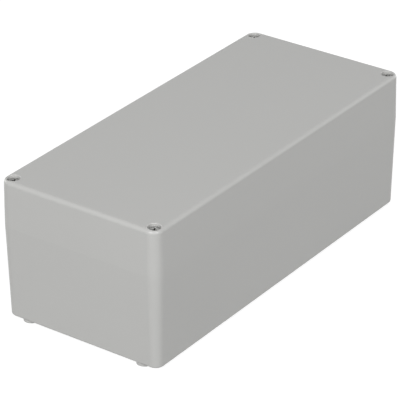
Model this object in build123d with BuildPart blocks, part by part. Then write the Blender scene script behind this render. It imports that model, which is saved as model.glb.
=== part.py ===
"""Polycarbonate enclosure with a deep screwed lid.

Millimetres, +Z up. The origin is at the centre of the plane that the feet stand on, X runs along the
length and Y across the width. The base and lid meet on the parting plane, where the walls are furthest
out: both halves lean inwards from there, as their moulds need. The seal loop passes inside the corner
columns, so the lid screws and the wall-mounting holes stay outside it.
"""

import os
from math import ceil, radians, tan

from build123d import *

os.makedirs("parts", exist_ok=True)

# Outside of the housing
LENGTH = 250.0  # on the parting plane
WIDTH = 111.0  # on the parting plane
BASE_HEIGHT = 59.0  # underside of the floor to the parting plane
LID_HEIGHT = 29.0
CORNER_RADIUS = 7.0
TOP_EDGE_RADIUS = 2.5
BOTTOM_EDGE_RADIUS = 1.5
BASE_DRAFT = 1.5  # degrees
LID_DRAFT = 1.0  # degrees
WALL = 4.0
FLOOR = 3.5
FLOOR_EDGE_RADIUS = 1.0  # between the chamber's floor and its walls
ROOF = 3.5

# Feet and wall-mounting holes
FOOT_DIAMETER = 9.0
FOOT_HEIGHT = 1.6
MOUNT_HOLE_DIAMETER = 4.5
MOUNT_SEAT = 4.0  # plastic between the mounting screw's head and the foot
CHANNEL_DIAMETER = 8.0  # mouth of the channel down to the mounting screw
CHANNEL_DRAFT = 0.4  # degrees

# Corner columns
COLUMN_INSET = 6.5  # lid screw and mounting hole, from the outside along X
SCREW_INSET = 6.2  # lid screw, from the outside along Y
SCREW_TO_MOUNT = 8.6  # lid screw to mounting hole, along Y
CHAMBER_CORNER_RADIUS = 3.0
COLUMN_CORNER_RADIUS = 5.0
CORE_DIAMETER = 5.4  # mouth of the core under each lid screw, which keeps the column's wall even
CORE_DRAFT = 0.5  # degrees
CORE_ROOF = 4.0  # plastic between the core and the hole under the insert

# Seal
GROOVE_WIDTH = 1.8
GROOVE_DEPTH = 4.0
INNER_LIP = 0.9
GASKET_THICKNESS = 1.5  # pressed
TONGUE_CLEARANCE = 0.2
TONGUE_CHAMFER = 0.3

# Lid screws, M4
THREAD_DIAMETER = 4.0
THREAD_PITCH = 0.7
THREAD_CLEARANCE = 0.05  # radial, thread in insert
SCREW_REACH = 10.6  # tip below the parting plane
HEAD_DIAMETER = 7.0
HEAD_HEIGHT = 2.8
HEAD_EDGE_RADIUS = 0.4
HEAD_SINK = 1.8  # head below the top of the lid
HEAD_CLEARANCE = 0.2  # radial, in the counterbore
RIM_RADIUS = 0.6  # of the counterbore's mouth
SHANK_CLEARANCE = 0.3  # radial, in the lid
SCREW_SEAT = 4.0  # plastic under the head
TIP_CHAMFER = 0.5
RECESS_WIDTH = 4.2
RECESS_WING = 1.2
RECESS_DEPTH = 1.8
RECESS_DRAFT = 12.0  # degrees
RECESS_TURNS = (20.0, 65.0, 40.0, 5.0)  # degrees that each tightened recess stands at

# Retaining clips
CLIP_DIAMETER = 7.0
CLIP_THICKNESS = 0.6
CLIP_MOUTH = 2.8
CLIP_PAD = 1.4
CLIP_RELIEF_DIAMETER = 4.6
CLIP_GROOVE_DIAMETER = 3.2
CLIP_CLEARANCE = 0.05  # on each face, and radial in the groove
CLIP_ROOM = 0.5  # radial, in the lid's pocket
CLIP_STOP_GAP = 0.1  # left between clip and seat when the screw is backed off

# Inserts
COLUMN_INSERT_DIAMETER = 5.6
COLUMN_INSERT_LENGTH = 8.1
BOSS_INSERT_DIAMETER = 4.6
BOSS_INSERT_LENGTH = 5.8
BOSS_THREAD_DIAMETER = 3.0
INSERT_SINK = 0.2  # below the face around it
INSERT_WAIST_DEPTH = 0.35
INSERT_WAIST_LENGTH = 1.4
INSERT_END_CHAMFER = 0.3
TIP_HOLE_DIAMETER = 4.6  # under the column insert
TIP_ROOM = 2.0  # below the screw's tip
SUMP_DIAMETER = 3.6  # under the boss insert
SUMP_DEPTH = 1.0

# Board bosses on the floor
BOSS_DIAMETER = 8.4
BOSS_HEIGHT = 8.0
BOSS_DRAFT = 1.0  # degrees
BOSS_END_MARGIN = 12.0  # boss axis to the column's face, along X
BOSS_SIDE_MARGIN = 11.0  # boss axis to the chamber wall, along Y
BOSS_COLUMNS = 3
GUSSET_THICKNESS = 1.5
GUSSET_REACH = 3.0  # beyond the boss
GUSSET_DROP = 2.0  # top of the gusset below the top of the boss

# Card guides on the long walls
GUIDE_SLOT = 2.0
GUIDE_RIB = 1.5
GUIDE_REACH = 2.5
GUIDE_PITCH = 20.0
GUIDE_END_MARGIN = 14.0
GUIDE_TOP_MARGIN = 8.0  # below the parting plane
GUIDE_DRAFT = 0.5  # degrees
GUIDE_ROOT = 1.0  # how far a rib runs into the wall at its top

# Bosses under the roof of the lid
LID_BOSS_DIAMETER = 6.5
LID_BOSS_HEIGHT = 7.0
LID_BOSS_DRAFT = 1.0  # degrees
LID_PILOT_DIAMETER = 2.4
LID_PILOT_DEPTH = 7.5
LID_BOSS_END_MARGIN = 30.0
LID_BOSS_SIDE_MARGIN = 20.0
LID_CORE_DIAMETER = 6.0  # over the mounting channel, which keeps the lid's corner even

# Levels
FLOOR_BOTTOM = FOOT_HEIGHT
FLOOR_TOP = FLOOR_BOTTOM + FLOOR
PARTING = FLOOR_BOTTOM + BASE_HEIGHT
TOP = PARTING + LID_HEIGHT
HEAD_TOP = TOP - HEAD_SINK
HEAD_UNDERSIDE = HEAD_TOP - HEAD_HEIGHT
SEAT_UNDERSIDE = HEAD_UNDERSIDE - SCREW_SEAT
SCREW_TIP = PARTING - SCREW_REACH
SCREW_LENGTH = HEAD_UNDERSIDE - SCREW_TIP  # under the head
BACK_OFF_TURNS = ceil(SCREW_REACH / THREAD_PITCH)  # whole turns that free the tip from the base
BACK_OFF = BACK_OFF_TURNS * THREAD_PITCH
TIP_HOLE_BOTTOM = SCREW_TIP - TIP_ROOM
CLIP_TOP = SEAT_UNDERSIDE - BACK_OFF - CLIP_STOP_GAP
CLIP_BOTTOM = CLIP_TOP - CLIP_THICKNESS
COLUMN_INSERT_TOP = PARTING - INSERT_SINK
TONGUE_HEIGHT = GROOVE_DEPTH - GASKET_THICKNESS
BOSS_TOP = FLOOR_TOP + BOSS_HEIGHT
BOSS_INSERT_TOP = BOSS_TOP - INSERT_SINK

# Plan
CHANNEL_RADIUS = CHANNEL_DIAMETER / 2
MOUNT_INSET = SCREW_INSET + SCREW_TO_MOUNT
COLUMN_LENGTH = COLUMN_INSET + CHANNEL_RADIUS  # how far a column steps into the chamber, along X
COLUMN_WIDTH = MOUNT_INSET + CHANNEL_RADIUS  # the same along Y
CHAMBER_LENGTH = LENGTH - 2 * WALL
CHAMBER_WIDTH = WIDTH - 2 * WALL
SCREW_SPACING = (LENGTH - 2 * COLUMN_INSET, WIDTH - 2 * SCREW_INSET)
MOUNT_SPACING = (LENGTH - 2 * COLUMN_INSET, WIDTH - 2 * MOUNT_INSET)
BAY_LENGTH = CHAMBER_LENGTH - 2 * COLUMN_LENGTH
BOSS_SPACING = (BAY_LENGTH / 2 - BOSS_END_MARGIN, CHAMBER_WIDTH - 2 * BOSS_SIDE_MARGIN)
GUSSET_HEIGHT = BOSS_HEIGHT - GUSSET_DROP
GUSSET_SPAN = BOSS_DIAMETER + 2 * GUSSET_REACH
GUIDE_HEIGHT = BASE_HEIGHT - FLOOR - GUIDE_TOP_MARGIN
GUIDE_FACE = CHAMBER_WIDTH / 2 - (BASE_HEIGHT - FLOOR) * tan(radians(BASE_DRAFT)) - GUIDE_REACH
GUIDE_BACK = CHAMBER_WIDTH / 2 - GUIDE_TOP_MARGIN * tan(radians(BASE_DRAFT)) + GUIDE_ROOT
GUIDE_SLOTS = int((BAY_LENGTH - 2 * GUIDE_END_MARGIN) / GUIDE_PITCH) + 1
LID_BOSS_SPACING = (BAY_LENGTH - 2 * LID_BOSS_END_MARGIN, CHAMBER_WIDTH - 2 * LID_BOSS_SIDE_MARGIN)


def chamber_outline(outset=0.0):
    """Plan of the chamber on the parting plane, which steps in round the columns, grown by an outset."""
    with BuildSketch() as outline:
        Rectangle(CHAMBER_LENGTH, CHAMBER_WIDTH)
        with GridLocations(CHAMBER_LENGTH, CHAMBER_WIDTH, 2, 2):
            Rectangle(2 * COLUMN_LENGTH, 2 * COLUMN_WIDTH, mode=Mode.SUBTRACT)
        fillet(outline.vertices().group_by(SortBy.DISTANCE)[0], COLUMN_CORNER_RADIUS)
        by_x = outline.vertices().group_by(Axis.X)
        by_y = outline.vertices().group_by(Axis.Y)
        fillet(by_x[0] + by_x[-1] + by_y[0] + by_y[-1], CHAMBER_CORNER_RADIUS)
        if outset:
            offset(amount=outset, kind=Kind.ARC)
    return outline.sketch


def loop(inner, outer):
    """Plan of a band round the chamber, between two distances outside its wall."""
    with BuildSketch() as band:
        add(chamber_outline(outer))
        add(chamber_outline(inner), mode=Mode.SUBTRACT)
    return band.sketch


def upright(x, y, z, along=(1, 0, 0)):
    """A standing plane: its own X runs along the given level direction, and its own Y runs up."""
    return Plane(origin=(x, y, z), x_dir=along, z_dir=Vector(along).cross(Vector(0, 0, 1)))


def insert(diameter, length, thread_diameter, top, x, y):
    """A brass insert: a knurled band at each end, a waist between them, and a chamfered lower end."""
    outside = diameter / 2
    inside = thread_diameter / 2
    waist = outside - INSERT_WAIST_DEPTH
    waist_top = -(length - INSERT_WAIST_LENGTH) / 2
    waist_bottom = waist_top - INSERT_WAIST_LENGTH
    with BuildPart() as sleeve:
        with BuildSketch(upright(x, y, top)):
            with BuildLine():
                Polyline(
                    (inside, 0),
                    (outside, 0),
                    (outside, waist_top),
                    (waist, waist_top),
                    (waist, waist_bottom),
                    (outside, waist_bottom),
                    (outside, INSERT_END_CHAMFER - length),
                    (outside - INSERT_END_CHAMFER, -length),
                    (inside, -length),
                    close=True,
                )
            make_face()
        revolve(axis=Axis((x, y, top), (0, 0, 1)))
    return sleeve.part


def lid_screw(x, y, turn):
    """A captive cross-recess screw, with the groove for its retaining clip turned in the shank."""
    shank = THREAD_DIAMETER / 2
    groove = CLIP_GROOVE_DIAMETER / 2
    groove_top = CLIP_TOP + CLIP_CLEARANCE - HEAD_UNDERSIDE
    groove_bottom = CLIP_BOTTOM - CLIP_CLEARANCE - HEAD_UNDERSIDE
    with BuildPart() as screw:
        with BuildSketch(upright(x, y, HEAD_UNDERSIDE)):
            with BuildLine():
                Polyline(
                    (0, HEAD_HEIGHT),
                    (HEAD_DIAMETER / 2, HEAD_HEIGHT),
                    (HEAD_DIAMETER / 2, 0),
                    (shank, 0),
                    (shank, groove_top),
                    (groove, groove_top),
                    (groove, groove_bottom),
                    (shank, groove_bottom),
                    (shank, TIP_CHAMFER - SCREW_LENGTH),
                    (shank - TIP_CHAMFER, -SCREW_LENGTH),
                    (0, -SCREW_LENGTH),
                    close=True,
                )
            make_face()
        revolve(axis=Axis((x, y, HEAD_UNDERSIDE), (0, 0, 1)))
        fillet(screw.faces().sort_by(Axis.Z)[-1].edges(), HEAD_EDGE_RADIUS)
        with BuildSketch(Plane(origin=(x, y, HEAD_TOP)).rotated((0, 0, turn))):
            Rectangle(RECESS_WIDTH, RECESS_WING)
            Rectangle(RECESS_WING, RECESS_WIDTH)
        extrude(amount=-RECESS_DEPTH, taper=RECESS_DRAFT, mode=Mode.SUBTRACT)
    return screw.part


def retaining_clip(x, y):
    """An E-shaped clip: a sprung bow with three pads that reach into the screw's groove."""
    bore = CLIP_GROOVE_DIAMETER / 2 + CLIP_CLEARANCE
    relief = CLIP_RELIEF_DIAMETER / 2
    with BuildPart() as clip:
        with BuildSketch(Plane(origin=(x, y, CLIP_BOTTOM))):
            Circle(CLIP_DIAMETER / 2)
            Circle(relief, mode=Mode.SUBTRACT)
            with PolarLocations(relief, 3, start_angle=90):
                Rectangle(2 * (relief - bore) + CLIP_CLEARANCE, CLIP_PAD)
            Circle(bore, mode=Mode.SUBTRACT)
            with Locations((0, -CLIP_DIAMETER / 2)):
                Rectangle(CLIP_MOUTH, CLIP_DIAMETER, mode=Mode.SUBTRACT)
        extrude(amount=CLIP_THICKNESS)
    return clip.part


def corners(spacing):
    """Corners of a centred rectangle: front left, front right, back right, back left."""
    x = spacing[0] / 2
    y = spacing[1] / 2
    return [(-x, -y), (x, -y), (x, y), (-x, y)]


# Base
with BuildPart() as base:
    with BuildSketch(Plane.XY.offset(PARTING)):
        RectangleRounded(LENGTH, WIDTH, CORNER_RADIUS)
    extrude(amount=-BASE_HEIGHT, taper=BASE_DRAFT)
    fillet(base.faces().sort_by(Axis.Z)[0].edges(), BOTTOM_EDGE_RADIUS)

    # Feet, which run up into the rounded edge
    with BuildSketch(Plane.XY):
        with GridLocations(*MOUNT_SPACING, 2, 2):
            Circle(FOOT_DIAMETER / 2)
    extrude(amount=FOOT_HEIGHT + BOTTOM_EDGE_RADIUS)

    # Chamber, inside the seal
    with BuildSketch(Plane.XY.offset(PARTING)):
        add(chamber_outline())
    extrude(amount=-(BASE_HEIGHT - FLOOR), taper=BASE_DRAFT, mode=Mode.SUBTRACT)
    fillet(base.faces(Select.LAST).sort_by(Axis.Z)[0].edges(), FLOOR_EDGE_RADIUS)

    # Tongue, which presses on the gasket
    with BuildSketch(Plane.XY.offset(PARTING)):
        add(loop(INNER_LIP + TONGUE_CLEARANCE, INNER_LIP + GROOVE_WIDTH - TONGUE_CLEARANCE))
    extrude(amount=TONGUE_HEIGHT)
    chamfer(base.faces().sort_by(Axis.Z)[-1].edges(), TONGUE_CHAMFER)

    # Board bosses with their gussets
    with BuildSketch(Plane.XY.offset(BOSS_TOP)):
        with GridLocations(*BOSS_SPACING, BOSS_COLUMNS, 2):
            Circle(BOSS_DIAMETER / 2)
    extrude(amount=-BOSS_HEIGHT, taper=-BOSS_DRAFT)
    for boss in GridLocations(*BOSS_SPACING, BOSS_COLUMNS, 2):
        for along in ((1, 0, 0), (0, 1, 0)):
            with BuildSketch(upright(boss.position.X, boss.position.Y, FLOOR_TOP, along)):
                with BuildLine():
                    Polyline(
                        (-GUSSET_SPAN / 2, 0),
                        (-BOSS_DIAMETER / 2, GUSSET_HEIGHT),
                        (BOSS_DIAMETER / 2, GUSSET_HEIGHT),
                        (GUSSET_SPAN / 2, 0),
                        close=True,
                    )
                make_face()
            extrude(amount=GUSSET_THICKNESS / 2, both=True)

    # Card guides: pairs of ribs up the long walls
    with BuildSketch(Plane.XY.offset(FLOOR_TOP)):
        for side in (-1, 1):
            with Locations((0, side * (GUIDE_FACE + GUIDE_BACK) / 2)):
                with GridLocations(GUIDE_PITCH, 0, GUIDE_SLOTS, 1):
                    with GridLocations(GUIDE_SLOT + GUIDE_RIB, 0, 2, 1):
                        Rectangle(GUIDE_RIB, GUIDE_BACK - GUIDE_FACE)
    extrude(amount=GUIDE_HEIGHT, taper=GUIDE_DRAFT)

    # Holes for the board inserts
    with BuildSketch(Plane.XY.offset(BOSS_TOP)):
        with GridLocations(*BOSS_SPACING, BOSS_COLUMNS, 2):
            Circle(BOSS_INSERT_DIAMETER / 2)
    extrude(amount=-(INSERT_SINK + BOSS_INSERT_LENGTH), mode=Mode.SUBTRACT)
    with BuildSketch(Plane.XY.offset(BOSS_TOP)):
        with GridLocations(*BOSS_SPACING, BOSS_COLUMNS, 2):
            Circle(SUMP_DIAMETER / 2)
    extrude(amount=-(INSERT_SINK + BOSS_INSERT_LENGTH + SUMP_DEPTH), mode=Mode.SUBTRACT)

    # Wall-mounting channels and holes
    with BuildSketch(Plane.XY.offset(PARTING)):
        with GridLocations(*MOUNT_SPACING, 2, 2):
            Circle(CHANNEL_DIAMETER / 2)
    extrude(amount=-(BASE_HEIGHT - MOUNT_SEAT), taper=CHANNEL_DRAFT, mode=Mode.SUBTRACT)
    with GridLocations(*MOUNT_SPACING, 2, 2):
        Hole(MOUNT_HOLE_DIAMETER / 2)

    # Lid screw columns: the insert's hole, room for the tip, and the core from below
    with BuildSketch(Plane.XY.offset(PARTING)):
        with GridLocations(*SCREW_SPACING, 2, 2):
            Circle(COLUMN_INSERT_DIAMETER / 2)
    extrude(amount=-(INSERT_SINK + COLUMN_INSERT_LENGTH), mode=Mode.SUBTRACT)
    with BuildSketch(Plane.XY.offset(PARTING)):
        with GridLocations(*SCREW_SPACING, 2, 2):
            Circle(TIP_HOLE_DIAMETER / 2)
    extrude(amount=TIP_HOLE_BOTTOM - PARTING, mode=Mode.SUBTRACT)
    with BuildSketch(Plane.XY.offset(FLOOR_BOTTOM)):
        with GridLocations(*SCREW_SPACING, 2, 2):
            Circle(CORE_DIAMETER / 2)
    extrude(amount=TIP_HOLE_BOTTOM - CORE_ROOF - FLOOR_BOTTOM, taper=CORE_DRAFT, mode=Mode.SUBTRACT)

base.part.label = "base"
export_step(base.part, "parts/base.step")


# Lid
with BuildPart() as lid:
    with BuildSketch(Plane.XY.offset(PARTING)):
        RectangleRounded(LENGTH, WIDTH, CORNER_RADIUS)
    extrude(amount=LID_HEIGHT, taper=LID_DRAFT)
    fillet(lid.faces().sort_by(Axis.Z)[-1].edges(), TOP_EDGE_RADIUS)

    # Chamber and seal groove
    with BuildSketch(Plane.XY.offset(PARTING)):
        add(chamber_outline())
    extrude(amount=LID_HEIGHT - ROOF, taper=LID_DRAFT, mode=Mode.SUBTRACT)
    with BuildSketch(Plane.XY.offset(PARTING)):
        add(loop(INNER_LIP, INNER_LIP + GROOVE_WIDTH))
    extrude(amount=GROOVE_DEPTH, mode=Mode.SUBTRACT)

    # Corner pockets, in which the clips rise, and the cores over the mounting channels
    with BuildSketch(Plane.XY.offset(PARTING)):
        with GridLocations(SCREW_SPACING[0], (SCREW_SPACING[1] + MOUNT_SPACING[1]) / 2, 2, 2):
            SlotCenterToCenter(SCREW_TO_MOUNT, CLIP_DIAMETER + 2 * CLIP_ROOM, rotation=90)
    extrude(amount=SEAT_UNDERSIDE - PARTING, mode=Mode.SUBTRACT)
    with BuildSketch(Plane.XY.offset(PARTING)):
        with GridLocations(*MOUNT_SPACING, 2, 2):
            Circle(LID_CORE_DIAMETER / 2)
    extrude(amount=LID_HEIGHT - ROOF, mode=Mode.SUBTRACT)

    # Screw holes
    with BuildSketch(Plane.XY.offset(TOP)):
        with GridLocations(*SCREW_SPACING, 2, 2):
            Circle(HEAD_DIAMETER / 2 + HEAD_CLEARANCE)
    extrude(amount=HEAD_UNDERSIDE - TOP, mode=Mode.SUBTRACT)
    fillet([edge for edge in lid.edges(Select.LAST) if edge.center().Z > HEAD_TOP], RIM_RADIUS)
    with BuildSketch(Plane.XY.offset(TOP)):
        with GridLocations(*SCREW_SPACING, 2, 2):
            Circle(THREAD_DIAMETER / 2 + SHANK_CLEARANCE)
    extrude(amount=SEAT_UNDERSIDE - TOP, mode=Mode.SUBTRACT)

    # Bosses under the roof
    with BuildSketch(Plane.XY.offset(TOP - ROOF - LID_BOSS_HEIGHT)):
        with GridLocations(*LID_BOSS_SPACING, 2, 2):
            Circle(LID_BOSS_DIAMETER / 2)
    extrude(amount=LID_BOSS_HEIGHT, taper=-LID_BOSS_DRAFT)
    with BuildSketch(Plane.XY.offset(TOP - ROOF - LID_BOSS_HEIGHT)):
        with GridLocations(*LID_BOSS_SPACING, 2, 2):
            Circle(LID_PILOT_DIAMETER / 2)
    extrude(amount=LID_PILOT_DEPTH, mode=Mode.SUBTRACT)

lid.part.label = "lid"
export_step(lid.part, "parts/lid.step")


# Gasket
with BuildPart() as gasket:
    with BuildSketch(Plane.XY.offset(PARTING + TONGUE_HEIGHT)):
        add(loop(INNER_LIP, INNER_LIP + GROOVE_WIDTH))
    extrude(amount=GASKET_THICKNESS)

gasket.part.label = "gasket"
export_step(gasket.part, "parts/gasket.step")


# Lid screws, with their clips and inserts
for number, (x, y) in enumerate(corners(SCREW_SPACING), start=1):
    screw = lid_screw(x, y, RECESS_TURNS[number - 1])
    screw.label = f"lid_screw_{number}"
    export_step(screw, f"parts/{screw.label}.step")

    clip = retaining_clip(x, y)
    clip.label = f"retaining_clip_{number}"
    export_step(clip, f"parts/{clip.label}.step")

    column_insert = insert(
        COLUMN_INSERT_DIAMETER,
        COLUMN_INSERT_LENGTH,
        THREAD_DIAMETER + 2 * THREAD_CLEARANCE,
        COLUMN_INSERT_TOP,
        x,
        y,
    )
    column_insert.label = f"column_insert_{number}"
    export_step(column_insert, f"parts/{column_insert.label}.step")


# Board inserts
for number, boss in enumerate(GridLocations(*BOSS_SPACING, BOSS_COLUMNS, 2), start=1):
    boss_insert = insert(
        BOSS_INSERT_DIAMETER,
        BOSS_INSERT_LENGTH,
        BOSS_THREAD_DIAMETER,
        BOSS_INSERT_TOP,
        boss.position.X,
        boss.position.Y,
    )
    boss_insert.label = f"boss_insert_{number}"
    export_step(boss_insert, f"parts/{boss_insert.label}.step")
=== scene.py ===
from math import ceil, cos, radians, sin, tan, tau

import bmesh
import bpy
from mathutils import Matrix, Vector


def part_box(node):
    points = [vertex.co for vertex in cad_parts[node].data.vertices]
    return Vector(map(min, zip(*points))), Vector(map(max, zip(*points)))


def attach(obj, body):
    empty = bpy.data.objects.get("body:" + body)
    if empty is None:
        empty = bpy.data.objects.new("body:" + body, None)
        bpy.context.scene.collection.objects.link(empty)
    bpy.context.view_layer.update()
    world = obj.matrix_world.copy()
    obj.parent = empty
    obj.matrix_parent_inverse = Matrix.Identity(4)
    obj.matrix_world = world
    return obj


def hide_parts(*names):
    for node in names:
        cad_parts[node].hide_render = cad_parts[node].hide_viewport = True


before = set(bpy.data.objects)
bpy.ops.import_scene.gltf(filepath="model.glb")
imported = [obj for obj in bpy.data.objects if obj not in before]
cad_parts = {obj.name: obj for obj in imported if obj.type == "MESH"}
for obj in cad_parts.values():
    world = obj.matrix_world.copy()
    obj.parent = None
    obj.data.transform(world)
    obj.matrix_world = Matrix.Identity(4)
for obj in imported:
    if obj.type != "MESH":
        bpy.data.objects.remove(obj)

# A polycarbonate enclosure with a deep screwed lid. Metres, +Z up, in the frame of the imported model.

MM = 0.001

# Lid screws, M4
HEAD_DIAMETER = 7.0 * MM
HEAD_HEIGHT = 2.8 * MM
HEAD_EDGE_RADIUS = 0.4 * MM
HEAD_CHAMFER = 0.1 * MM  # round its underside
THREAD_DIAMETER = 4.0 * MM
THREAD_PITCH = 0.7 * MM
THREAD_DEPTH = 0.4 * MM
THREAD_TOP = 3.0 * MM  # below the groove for the clip
THREAD_RUNOUT = 0.35 * MM
CLIP_GROOVE_DIAMETER = 3.2 * MM
CLIP_GROOVE_ROOM = 0.05 * MM
TIP_CHAMFER = 0.5 * MM
NECK_RADIUS = 0.2 * MM
NECK_OVERLAP = 0.2 * MM  # with the head
RECESS_WIDTH = 4.2 * MM
RECESS_WING = 1.2 * MM
RECESS_DEPTH = 1.8 * MM
RECESS_DRAFT = radians(12)
RECESS_TURNS = (20, 65, 40, 5)  # degrees
BROKEN_EDGE = 0.06 * MM

# Brass inserts
BOSS_INSERTS = 6
COLUMN_THREAD = (4.1 * MM, 0.7 * MM)  # bore and pitch
BOSS_THREAD = (3.0 * MM, 0.5 * MM)
WAIST_DEPTH = 0.35 * MM
WAIST_LENGTH = 1.4 * MM
KNURL_DEPTH = 0.12 * MM
KNURL_PITCH = 0.55 * MM
KNURL_LEAN = 1.4  # how far a ridge runs round for each step up
INSERT_END_CHAMFER = 0.3 * MM
INSERT_MOUTH_CHAMFER = 0.25 * MM
INSERT_EDGE = 0.1 * MM  # broken, at the lower end of the bore

# Meshes
HEAD_COLUMNS = 64
SHANK_COLUMNS = 48
KNURL_COLUMNS = 4  # to each ridge
BAND_ROWS = 5
THREAD_ROWS = 8  # to each turn
THREAD_CREST = 0.06  # half of its width, in pitches
THREAD_FLANK = 0.38  # in pitches
CENTRE_RADIUS = 0.3 * MM  # of the flat faces that close the head's mesh
SHARP_ANGLE = radians(35)  # between faces that aren't smoothed into each other

# Light
LAMP_DISTANCE = 2.6
LAMP_DIAMETER = 0.7
SURROUNDINGS = 0.32  # how strongly they light the object
FLOOR_REACH = 4.0  # from the middle to each side
FLOOR_BOUNCE = (0.24, 0.26)  # darkest and lightest, as it lights the object
FLOOR_SHADE = 0.30  # how much of the floor's look its shadows can take away
FLOOR_GLOW = 0.85

# Camera: where it looks from, and how far the picture's middle lies beside the middle of the housing
CAMERA_AZIMUTH = radians(-54.012)
CAMERA_ELEVATION = radians(28.082)
CAMERA_ROLL = radians(-0.375)
CAMERA_RIGHT = -4.908 * MM
CAMERA_UP = -5.94 * MM
CAMERA_DISTANCE = 1494.549 * MM
CAMERA_LENS = 226.829  # millimetres, as the next
CAMERA_SENSOR = 36.0
HOUSING_MIDDLE = 45.6 * MM

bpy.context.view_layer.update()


# Materials

def add(tree, kind, inputs=None, **settings):
    """A new node. An input that is given a socket is linked to it, and any other value is set on it."""
    made = tree.nodes.new("ShaderNode" + kind)
    for name, value in settings.items():
        setattr(made, name, value)
    for name, value in (inputs or {}).items():
        if isinstance(value, bpy.types.NodeSocket):
            tree.links.new(value, made.inputs[name])
        else:
            made.inputs[name].default_value = value
    return made


def material(name):
    """A new material with an empty node tree, its output, and the coordinates of the piece."""
    made = bpy.data.materials.new(name)
    made.use_nodes = True
    tree = made.node_tree
    tree.nodes.clear()
    return made, tree, add(tree, "OutputMaterial"), add(tree, "TexCoord").outputs["Object"]


def calculated(tree, operation, first, second):
    return add(tree, "Math", {0: first, 1: second}, operation=operation).outputs[0]


def noise(tree, place, scale, detail=2.0, roughness=0.5):
    inputs = {"Vector": place, "Scale": scale, "Detail": detail, "Roughness": roughness}
    return add(tree, "TexNoise", inputs).outputs[0]


def span(tree, value, low, high, start=0.3, end=0.7):
    """A value between start and end spread out between low and high."""
    inputs = {"Value": value, "From Min": start, "From Max": end, "To Min": low, "To Max": high}
    return add(tree, "MapRange", inputs).outputs[0]


def mixed(tree, share, first, second):
    """A colour between two."""
    mix = add(tree, "Mix", data_type="RGBA")
    for index, value in ((0, share), (6, first), (7, second)):
        if isinstance(value, bpy.types.NodeSocket):
            tree.links.new(value, mix.inputs[index])
        else:
            mix.inputs[index].default_value = value if index == 0 else (*value, 1.0)
    return mix.outputs[2]


def bump(tree, height, distance, strength=1.0, normal=None):
    inputs = {"Height": height, "Distance": distance, "Strength": strength}
    if normal is not None:
        inputs["Normal"] = normal
    return add(tree, "Bump", inputs).outputs[0]


def finished(made, tree, output, inputs):
    """A material with a principled shader, which gets these inputs, as its surface."""
    shader = add(tree, "BsdfPrincipled", inputs)
    tree.links.new(shader.outputs[0], output.inputs[0])
    return made


def turning(tree, place, scale):
    """The distance from the piece's own axis, and the faint rings round it that turning leaves."""
    parts = add(tree, "SeparateXYZ", {0: place}).outputs
    flat = add(tree, "CombineXYZ", {0: parts[0], 1: parts[1]}).outputs[0]
    radius = add(tree, "VectorMath", {0: flat}, operation="LENGTH").outputs["Value"]
    inputs = {"W": radius, "Scale": scale, "Detail": 2.0}
    return radius, add(tree, "TexNoise", inputs, noise_dimensions="1D").outputs[0]


def seen_directly(tree):
    """1 for the rays of the camera, reflections and clear materials, and 0 for those that light things."""
    path = add(tree, "LightPath").outputs
    seen = calculated(tree, "MAXIMUM", path["Is Camera Ray"], path["Is Glossy Ray"])
    return calculated(tree, "MAXIMUM", seen, path["Is Transmission Ray"])


def moulded_plastic():
    """Light-grey polycarbonate from a spark-eroded mould: a fine even grain, faint waves and flow tones."""
    made, tree, output, place = material("moulded_plastic")
    flow = noise(tree, place, 9.0, 3.0)
    pigment = noise(tree, place, 2600.0, 1.0)
    tone = mixed(tree, span(tree, flow, 0.0, 1.0), (0.437, 0.437, 0.426), (0.449, 0.449, 0.438))
    tone = mixed(tree, span(tree, pigment, 0.0, 0.12), tone, (0.50, 0.50, 0.49))
    grain = noise(tree, place, 3400.0, 3.0, 0.6)
    pits = add(tree, "TexVoronoi", {"Vector": place, "Scale": 2100.0}).outputs["Distance"]
    waves = noise(tree, place, 95.0, 2.0)
    normal = bump(tree, waves, 0.02 * MM, 0.35)
    normal = bump(tree, grain, 0.012 * MM, 0.5, normal)
    normal = bump(tree, pits, 0.008 * MM, 0.35, normal)
    gloss = span(tree, calculated(tree, "MULTIPLY", flow, grain), 0.38, 0.46, 0.1, 0.45)
    inputs = {"Base Color": tone, "Roughness": gloss, "Normal": normal, "IOR": 1.58}
    return finished(made, tree, output, inputs)


def turned_steel():
    """Stainless steel, tumbled dull: faint rings round the axis, patches, and painted shade darkening the
    cross recess.
    """
    made, tree, output, place = material("turned_steel")
    radius, rings = turning(tree, place, 9000.0)
    height = add(tree, "SeparateXYZ", {0: place}).outputs[2]
    patches = noise(tree, place, 700.0, 3.0)
    tone = mixed(tree, span(tree, patches, 0.0, 1.0), (0.27, 0.27, 0.265), (0.35, 0.348, 0.34))
    tone = mixed(tree, span(tree, rings, 0.0, 0.25), tone, (0.48, 0.48, 0.47))
    # Painted shade: inside the recess's width and below the head's top, the steel's colour is darkened to
    # near black.
    recess_floor = HEAD_HEIGHT - RECESS_DEPTH
    inside = span(tree, radius, 1.0, 0.0, RECESS_WIDTH / 2, RECESS_WIDTH / 2 + 0.15 * MM)
    painted_shade_depth = span(tree, height, 1.0, 0.0, HEAD_HEIGHT - 0.25 * MM, HEAD_HEIGHT - 0.05 * MM)
    above = span(tree, height, 0.0, 1.0, recess_floor - 0.2 * MM, recess_floor)
    recess = calculated(tree, "MULTIPLY", calculated(tree, "MULTIPLY", inside, painted_shade_depth), above)
    tone = mixed(tree, recess, tone, (0.09, 0.09, 0.087))
    gloss = span(tree, calculated(tree, "ADD", rings, patches), 0.40, 0.52, 0.7, 1.3)
    normal = bump(tree, rings, 0.004 * MM, 0.6)
    inputs = {"Base Color": tone, "Metallic": 1.0, "Roughness": gloss, "Normal": normal}
    return finished(made, tree, output, inputs)


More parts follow.
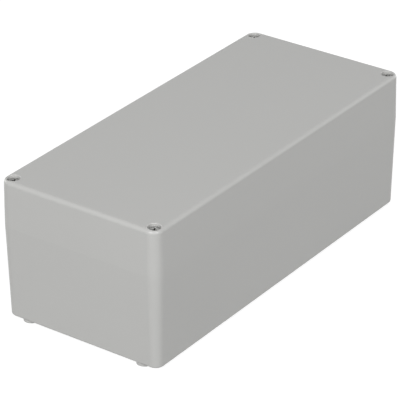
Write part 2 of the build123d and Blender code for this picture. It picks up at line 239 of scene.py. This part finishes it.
def stamped_steel():
    """Spring steel as stamped and tumbled: soft mottling and fine scratches."""
    made, tree, output, place = material("stamped_steel")
    patches = noise(tree, place, 900.0, 4.0)
    inputs = {"Vector": place, "Scale": (1.0, 14.0, 1.0), "Rotation": (0.0, 0.0, 0.6)}
    scratches = noise(tree, add(tree, "Mapping", inputs).outputs[0], 900.0, 2.0)
    tone = mixed(tree, span(tree, patches, 0.0, 1.0), (0.34, 0.335, 0.325), (0.47, 0.465, 0.455))
    gloss = span(tree, patches, 0.30, 0.46)
    normal = bump(tree, scratches, 0.006 * MM, 0.5)
    inputs = {"Base Color": tone, "Metallic": 1.0, "Roughness": gloss, "Normal": normal}
    return finished(made, tree, output, inputs)


def turned_brass():
    """Brass as turned, a little dulled."""
    made, tree, output, place = material("turned_brass")
    rings = turning(tree, place, 8000.0)[1]
    dulled = noise(tree, place, 500.0, 4.0)
    tone = mixed(tree, span(tree, dulled, 0.0, 1.0), (0.54, 0.36, 0.12), (0.68, 0.49, 0.20))
    gloss = span(tree, dulled, 0.26, 0.42)
    normal = bump(tree, rings, 0.004 * MM, 0.6)
    inputs = {"Base Color": tone, "Metallic": 1.0, "Roughness": gloss, "Normal": normal}
    return finished(made, tree, output, inputs)


def seal_rubber():
    """Soft dark-grey rubber, a little dusty, with the fine skin of a moulded seal."""
    made, tree, output, place = material("seal_rubber")
    bloom = noise(tree, place, 130.0, 4.0)
    skin = noise(tree, place, 2400.0, 3.0, 0.6)
    tone = mixed(tree, span(tree, bloom, 0.0, 1.0), (0.020, 0.020, 0.021), (0.034, 0.034, 0.035))
    gloss = span(tree, bloom, 0.68, 0.84)
    normal = bump(tree, skin, 0.04 * MM, 0.5)
    inputs = {"Base Color": tone, "Roughness": gloss, "Normal": normal, "Specular IOR Level": 0.35}
    return finished(made, tree, output, inputs)


# Shapes

def mesh_data(name, mesh):
    """Mesh data from an edited mesh, which is freed."""
    data = bpy.data.meshes.new(name)
    mesh.to_mesh(data)
    mesh.free()
    return data


def round_mesh(name, rows, columns, closed):
    """A mesh of rows round the Z axis. A row is a height and a radius, or a height and a function that
    gives the radius at an angle. Closed joins the last row to the first; otherwise both ends are filled."""
    mesh = bmesh.new()
    rings = []
    for height, radius in rows:
        ring = []
        for column in range(columns):
            angle = tau * column / columns
            r = radius(angle) if callable(radius) else radius
            ring.append(mesh.verts.new((r * cos(angle), r * sin(angle), height)))
        rings.append(ring)
    pairs = list(zip(rings, rings[1:] + rings[:1])) if closed else list(zip(rings, rings[1:]))
    for upper, lower in pairs:
        for column in range(columns):
            after = (column + 1) % columns
            mesh.faces.new((upper[column], lower[column], lower[after], upper[after]))
    if not closed:
        mesh.faces.new(rings[0])
        mesh.faces.new(rings[-1][::-1])
    bmesh.ops.recalc_face_normals(mesh, faces=mesh.faces)
    return mesh_data(name, mesh)


def placed(name, data, place, turn=0.0):
    """An object for a mesh, at a place and turned about Z."""
    made = bpy.data.objects.new(name, data)
    made.matrix_world = Matrix.Translation(place) @ Matrix.Rotation(turn, 4, "Z")
    bpy.context.scene.collection.objects.link(made)
    return made


def dressed(data, made):
    """Mesh data, smoothed but for its sharp edges, with its material."""
    for polygon in data.polygons:
        polygon.use_smooth = True
    data.set_sharp_from_angle(angle=SHARP_ANGLE)
    data.materials.append(made)
    return data


def helix(inner, outer, pitch, height):
    """The radius of a thread at one height, as a function of the angle: crest, flank and root."""
    def radius(angle):
        phase = (height / pitch - angle / tau) % 1.0
        flank = min(1.0, max(0.0, (abs(phase - 0.5) - THREAD_CREST) / THREAD_FLANK))
        return outer - (outer - inner) * flank
    return radius


def arc(centre_z, centre_r, radius, start, end, steps):
    """Rows along an arc of a profile, between two angles counted from outwards to upwards."""
    return [
        (centre_z + radius * sin(a), centre_r + radius * cos(a))
        for a in (radians(start + (end - start) * i / steps) for i in range(steps + 1))
    ]


def cross_cutter():
    """A tapered cross that cuts the recess, from above the head's top at 0 down to the recess's floor."""
    def outline(width, wing, z):
        """The cross at one height, anticlockwise."""
        w, v = width / 2, wing / 2
        return [
            Vector((x, y, z))
            for x, y in (
                (v, v), (v, w), (-v, w), (-v, v), (-w, v), (-w, -v),
                (-v, -v), (-v, -w), (v, -w), (v, -v), (w, -v), (w, v),
            )
        ]

    above = 0.5 * MM
    wider = 2 * above * tan(RECESS_DRAFT)
    narrower = 2 * RECESS_DEPTH * tan(RECESS_DRAFT)
    upper = outline(RECESS_WIDTH + wider, RECESS_WING + wider, above)
    lower = outline(RECESS_WIDTH - narrower, RECESS_WING - narrower, -RECESS_DEPTH)
    mesh = bmesh.new()
    top = [mesh.verts.new(corner) for corner in upper]
    bottom = [mesh.verts.new(corner) for corner in lower]
    mesh.faces.new(top)
    mesh.faces.new(bottom[::-1])
    for i in range(len(top)):
        after = (i + 1) % len(top)
        mesh.faces.new((top[i], bottom[i], bottom[after], top[after]))
    bmesh.ops.recalc_face_normals(mesh, faces=mesh.faces)
    return mesh_data("recess", mesh)


def screw_head():
    """The head, with its top at 0, its recess cut and the edges just broken."""
    radius = HEAD_DIAMETER / 2
    rows = [(0.0, CENTRE_RADIUS)]
    rows += arc(-HEAD_EDGE_RADIUS, radius - HEAD_EDGE_RADIUS, HEAD_EDGE_RADIUS, 90, 0, 6)
    rows += [(-HEAD_HEIGHT + HEAD_CHAMFER, radius), (-HEAD_HEIGHT, radius - HEAD_CHAMFER)]
    rows += [(-HEAD_HEIGHT, CENTRE_RADIUS)]
    head = placed("head", round_mesh("head", rows, HEAD_COLUMNS, False), (0, 0, 0))
    cutter = placed("cutter", cross_cutter(), (0, 0, 0))
    cut = head.modifiers.new("cut", "BOOLEAN")
    cut.object = cutter
    cut.operation = "DIFFERENCE"
    cut.solver = "EXACT"
    broken = head.modifiers.new("broken", "BEVEL")
    broken.width = BROKEN_EDGE
    broken.segments = 2
    broken.limit_method = "ANGLE"
    broken.angle_limit = radians(40)
    bpy.context.view_layer.update()
    data = bpy.data.meshes.new_from_object(head.evaluated_get(bpy.context.evaluated_depsgraph_get()))
    bpy.data.objects.remove(head)
    bpy.data.objects.remove(cutter)
    return data


def screw_shank(length, groove_top, groove_bottom):
    """The shank from just inside the head to the tip, with the groove for its clip and a rolled thread."""
    outside = THREAD_DIAMETER / 2
    groove = CLIP_GROOVE_DIAMETER / 2
    root = outside - THREAD_DEPTH
    thread_top = groove_bottom - THREAD_TOP
    start = thread_top - THREAD_RUNOUT
    neck = outside + NECK_RADIUS
    rows = [(NECK_OVERLAP, neck), (0.0, neck)]
    rows += [(z, 2 * neck - r) for z, r in arc(-NECK_RADIUS, neck, NECK_RADIUS, 90, 0, 4)[1:]]
    rows += [(groove_top, outside), (groove_top, groove), (groove_bottom, groove), (groove_bottom, outside)]
    rows += [(thread_top, outside), (start + 0.05 * MM, root + 0.1 * MM)]
    steps = ceil((start + length) / THREAD_PITCH * THREAD_ROWS)
    for i in range(steps + 1):
        z = start + (-length - start) * i / steps
        end = min(1.0, (z + length) / TIP_CHAMFER)
        crest = root - 0.1 * MM + (outside - root + 0.1 * MM) * end
        fade = min(1.0, (start - z) / THREAD_PITCH)
        crest = root + (crest - root) * fade if fade < 1.0 else crest
        rows.append((z, helix(min(root, crest), crest, THREAD_PITCH, z)))
    return round_mesh("shank", rows, SHANK_COLUMNS, False)


def joined(name, parts):
    """One mesh from several, each with how far it is lifted."""
    mesh = bmesh.new()
    for data, shift in parts:
        before = len(mesh.verts)
        mesh.from_mesh(data)
        mesh.verts.ensure_lookup_table()
        bmesh.ops.translate(mesh, verts=mesh.verts[before:], vec=(0, 0, shift))
        bpy.data.meshes.remove(data)
    return mesh_data(name, mesh)


def insert_mesh(diameter, length, thread):
    """A brass insert with its top at 0: two knurled bands, a waist between them and a thread inside."""
    bore, pitch = thread[0] / 2, thread[1]
    outside = diameter / 2
    end = -length
    waist = outside - WAIST_DEPTH
    waist_top = -(length - WAIST_LENGTH) / 2
    waist_bottom = waist_top - WAIST_LENGTH
    ridges = round(tau * outside / KNURL_PITCH)

    def band(z, lean):
        """The radius of a knurled band at one height, as a function of the angle."""
        def radius(angle):
            phase = (ridges * (angle + lean * KNURL_LEAN * z / outside) / tau) % 1.0
            return outside - KNURL_DEPTH * abs(2 * phase - 1)
        return radius

    def banded(top, bottom, lean):
        heights = [top + (bottom - top) * i / BAND_ROWS for i in range(BAND_ROWS + 1)]
        return [(z, band(z, lean)) for z in heights]

    rows = [(0.0, bore + INSERT_MOUTH_CHAMFER), (0.0, outside - KNURL_DEPTH)]
    rows += banded(-0.05 * MM, waist_top, 1)
    rows += [(waist_top, waist), (waist_bottom, waist)]
    rows += banded(waist_bottom, end + INSERT_END_CHAMFER, -1)
    rows += [(end, outside - INSERT_END_CHAMFER), (end, bore + INSERT_EDGE), (end + INSERT_EDGE, bore)]
    low, high = end + INSERT_EDGE + 0.05 * MM, -INSERT_MOUTH_CHAMFER
    steps = ceil((high - low) / pitch * THREAD_ROWS)
    for i in range(steps + 1):
        z = low + (high - low) * i / steps
        rows.append((z, helix(bore + 0.55 * pitch, bore, pitch, z)))
    return round_mesh("insert", rows, ridges * KNURL_COLUMNS, True)


# The pieces

plastic = moulded_plastic()
steel = turned_steel()
spring = stamped_steel()
brass = turned_brass()
rubber = seal_rubber()


def paint(name, made):
    """A CAD node's own mesh with a finished material in each of its slots."""
    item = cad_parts[name]
    if not item.material_slots:
        item.data.materials.append(made)
    for slot in item.material_slots:
        slot.material = made


def swap(node, piece, data, body, drop=0.0, turn=0.0):
    """A new piece in the place of a CAD node and on its axis. Its mesh starts a drop below the node's top."""
    low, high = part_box(node)
    middle = ((low[0] + high[0]) / 2, (low[1] + high[1]) / 2, high[2] - drop)
    made = placed(piece, data.copy(), middle, turn)
    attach(made, body)
    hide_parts(node)


def sleeve(node, thread):
    """The mesh of a brass insert, as large as a CAD node."""
    low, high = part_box(node)
    return dressed(insert_mesh(high[0] - low[0], high[2] - low[2], thread), brass)


for name in ("base", "lid"):
    paint(name, plastic)
paint("gasket", rubber)

clip_low, clip_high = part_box("retaining_clip_1")
screw_low, screw_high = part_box("lid_screw_1")
underside = screw_high[2] - HEAD_HEIGHT
shank = screw_shank(
    underside - screw_low[2],
    clip_high[2] + CLIP_GROOVE_ROOM - underside,
    clip_low[2] - CLIP_GROOVE_ROOM - underside,
)
screw = dressed(joined("lid_screw", [(screw_head(), HEAD_HEIGHT), (shank, 0.0)]), steel)
column_sleeve = sleeve("column_insert_1", COLUMN_THREAD)
boss_sleeve = sleeve("boss_insert_1", BOSS_THREAD)

for number, turn in enumerate(RECESS_TURNS, start=1):
    paint(f"retaining_clip_{number}", spring)
    body = f"screw_{number}"
    swap(f"lid_screw_{number}", body, screw, body, HEAD_HEIGHT, radians(turn))
    swap(f"column_insert_{number}", f"column_sleeve_{number}", column_sleeve, "base")

for number in range(1, BOSS_INSERTS + 1):
    swap(f"boss_insert_{number}", f"boss_sleeve_{number}", boss_sleeve, "base")


# Floor, light and camera

def floor():
    """A pale floor that shows white, with the soft shadow of what stands on it. It is clear from below."""
    made, tree, output, place = material("floor")
    mottle = span(tree, noise(tree, place, 3.0), *FLOOR_BOUNCE)
    tone = add(tree, "CombineColor", {0: mottle, 1: mottle, 2: mottle}).outputs[0]
    plain = add(tree, "BsdfDiffuse", {"Color": tone})
    faint = add(tree, "BsdfDiffuse", {"Color": (FLOOR_SHADE, FLOOR_SHADE, FLOOR_SHADE, 1.0)})
    glow = add(tree, "Emission", {"Color": (1.0, 1.0, 1.0, 1.0), "Strength": FLOOR_GLOW})
    shown = add(tree, "AddShader", {0: faint.outputs[0], 1: glow.outputs[0]})
    top = add(tree, "MixShader", {0: seen_directly(tree), 1: plain.outputs[0], 2: shown.outputs[0]})
    behind = add(tree, "NewGeometry").outputs["Backfacing"]
    hidden = calculated(tree, "MULTIPLY", behind, add(tree, "LightPath").outputs["Is Camera Ray"])
    clear = add(tree, "BsdfTransparent")
    both = add(tree, "MixShader", {0: hidden, 1: top.outputs[0], 2: clear.outputs[0]})
    tree.links.new(both.outputs[0], output.inputs[0])
    far = FLOOR_REACH
    data = bpy.data.meshes.new("floor")
    data.from_pydata([(-far, -far, 0), (far, -far, 0), (far, far, 0), (-far, far, 0)], [], [(0, 1, 2, 3)])
    data.materials.append(made)
    placed("floor", data, (0, 0, 0))


def surroundings():
    """An even light from all round, which the camera and reflections see as white."""
    world = bpy.data.worlds.new("surroundings")
    world.use_nodes = True
    tree = world.node_tree
    tree.nodes.clear()
    dim = add(tree, "Background", {"Color": (1.0, 1.0, 1.0, 1.0), "Strength": SURROUNDINGS})
    white = add(tree, "Background", {"Color": (1.0, 1.0, 1.0, 1.0), "Strength": 1.0})
    both = add(tree, "MixShader", {0: seen_directly(tree), 1: dim.outputs[0], 2: white.outputs[0]})
    output = add(tree, "OutputWorld")
    tree.links.new(both.outputs[0], output.inputs[0])
    bpy.context.scene.world = world


def away(azimuth, elevation):
    """The direction from the object to where it is seen or lit from. Azimuth 0 is the front."""
    return Vector((sin(azimuth) * cos(elevation), -cos(azimuth) * cos(elevation), sin(elevation)))


def lamp(name, azimuth, elevation, power):
    """A round soft lamp that points at the middle of the housing. Degrees and watts."""
    data = bpy.data.lights.new(name, "AREA")
    data.shape = "DISK"
    data.size = LAMP_DIAMETER
    data.energy = power
    back = away(radians(azimuth), radians(elevation))
    made = bpy.data.objects.new(name, data)
    made.location = Vector((0, 0, HOUSING_MIDDLE)) + back * LAMP_DISTANCE
    made.rotation_mode = "QUATERNION"
    made.rotation_quaternion = (-back).to_track_quat("-Z", "Y")
    bpy.context.scene.collection.objects.link(made)


def camera():
    """The camera of the photo, turned a little about its own view."""
    back = away(CAMERA_AZIMUTH, CAMERA_ELEVATION)
    level = (-back).cross(Vector((0, 0, 1))).normalized()
    upright = level.cross(-back)
    right = cos(CAMERA_ROLL) * level + sin(CAMERA_ROLL) * upright
    up = -sin(CAMERA_ROLL) * level + cos(CAMERA_ROLL) * upright
    place = Vector((0, 0, HOUSING_MIDDLE)) + CAMERA_RIGHT * right + CAMERA_UP * up + CAMERA_DISTANCE * back
    data = bpy.data.cameras.new("camera")
    data.lens = CAMERA_LENS
    data.sensor_width = CAMERA_SENSOR
    data.clip_start = 0.05
    data.clip_end = 50.0
    made = bpy.data.objects.new("camera", data)
    made.matrix_world = Matrix((
        (right.x, up.x, back.x, place.x),
        (right.y, up.y, back.y, place.y),
        (right.z, up.z, back.z, place.z),
        (0, 0, 0, 1),
    ))
    bpy.context.scene.collection.objects.link(made)
    bpy.context.scene.camera = made


floor()
surroundings()
lamp("end_light", -84, 29.5, 38.5)
lamp("side_light", -26, 29.5, 29.0)
lamp("far_end_light", 75, 8, 16.0)
lamp("back_light", 178, 8, 16.0)
camera()
bpy.context.scene.view_settings.view_transform = "Standard"

bpy.context.view_layer.update()
